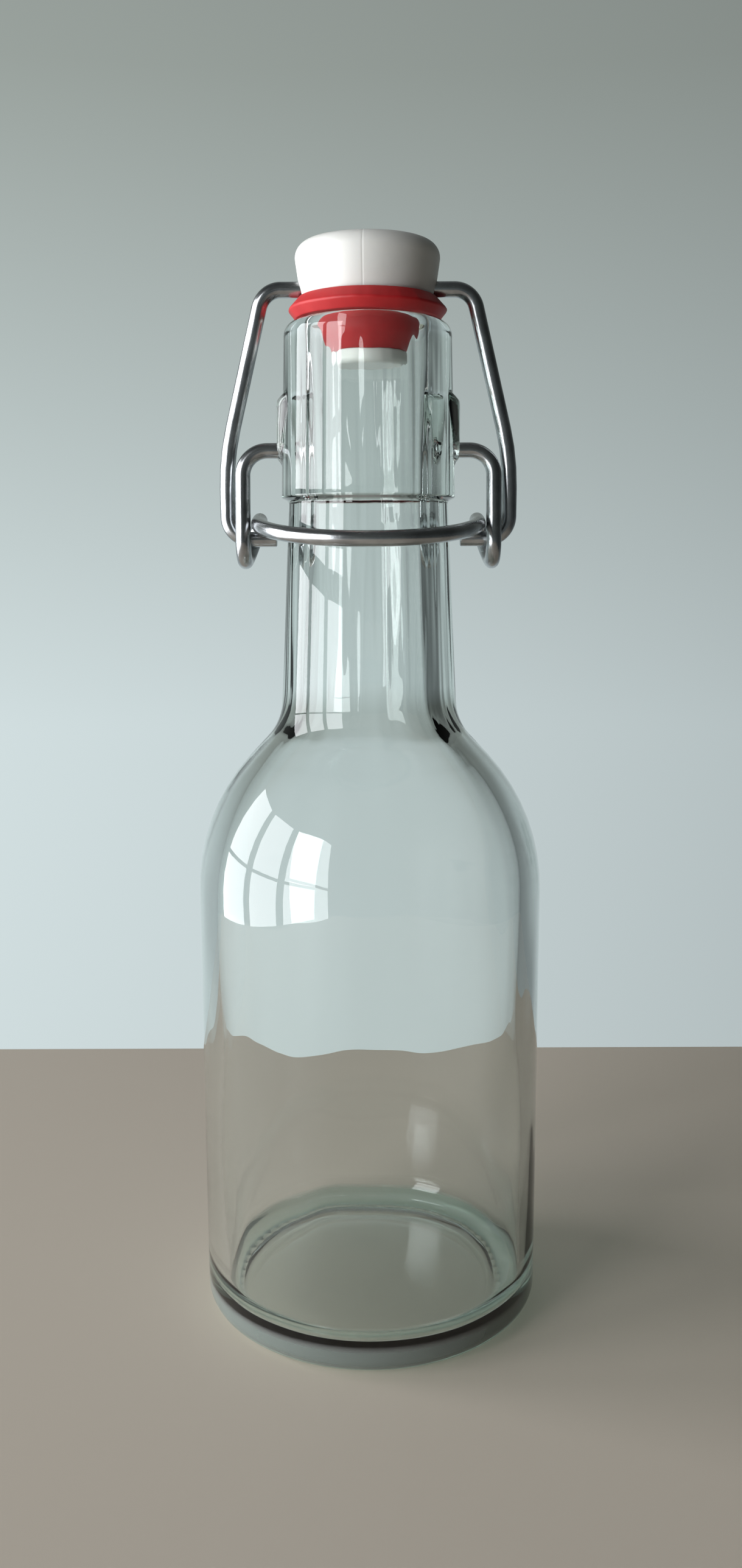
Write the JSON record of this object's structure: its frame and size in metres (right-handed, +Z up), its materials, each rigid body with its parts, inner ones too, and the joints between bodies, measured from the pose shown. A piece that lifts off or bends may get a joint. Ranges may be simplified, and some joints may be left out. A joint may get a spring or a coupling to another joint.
{
  "type": "swing-top bottle",
  "caption": "Small clear glass bottle with a wire swing-top closure: white stopper, red gasket, bail and lever.",
  "frame": {"origin": "centre of the base, on the plane the bottle stands on", "axes": "+Z up along the bottle's axis, -Y towards the lever's bow, the lugs at +X and -X"},
  "size_m": [0.058, 0.058, 0.1783],
  "materials": {
    "glass": "clear moulded glass, faint green where thick",
    "stopper": "satin off-white moulded plastic",
    "gasket": "matt red rubber",
    "wire": "bright drawn spring-steel wire"
  },
  "bodies": {
    "bottle": {"bottle": "glass"},
    "lever": {"lever_wire": "wire"},
    "bail": {"bail_wire": "wire"},
    "closure": {"stopper": "stopper", "gasket": "gasket"}
  },
  "joints": [
    {"name": "lever_pivot", "type": "hinge", "parent": "bottle", "child": "lever", "pos_m": [0, 0, 0.1463], "axis": [-1, 0, 0], "range_deg": [0, 75]},
    {"name": "bail_pivot", "type": "hinge", "parent": "lever", "child": "bail", "pos_m": [0, 0.00148, 0.13218], "axis": [-1, 0, 0], "range_deg": [-49, 0]},
    {"name": "stopper_pivot", "type": "hinge", "parent": "bail", "child": "closure", "pos_m": [0, 0, 0.17125], "axis": [-1, 0, 0], "range_deg": [-28, 0]}
  ],
  "couplings": [
    {"joint": "bail_pivot", "follows": "lever_pivot", "ratio": -0.63683},
    {"joint": "stopper_pivot", "follows": "lever_pivot", "ratio": -0.36317}
  ]
}
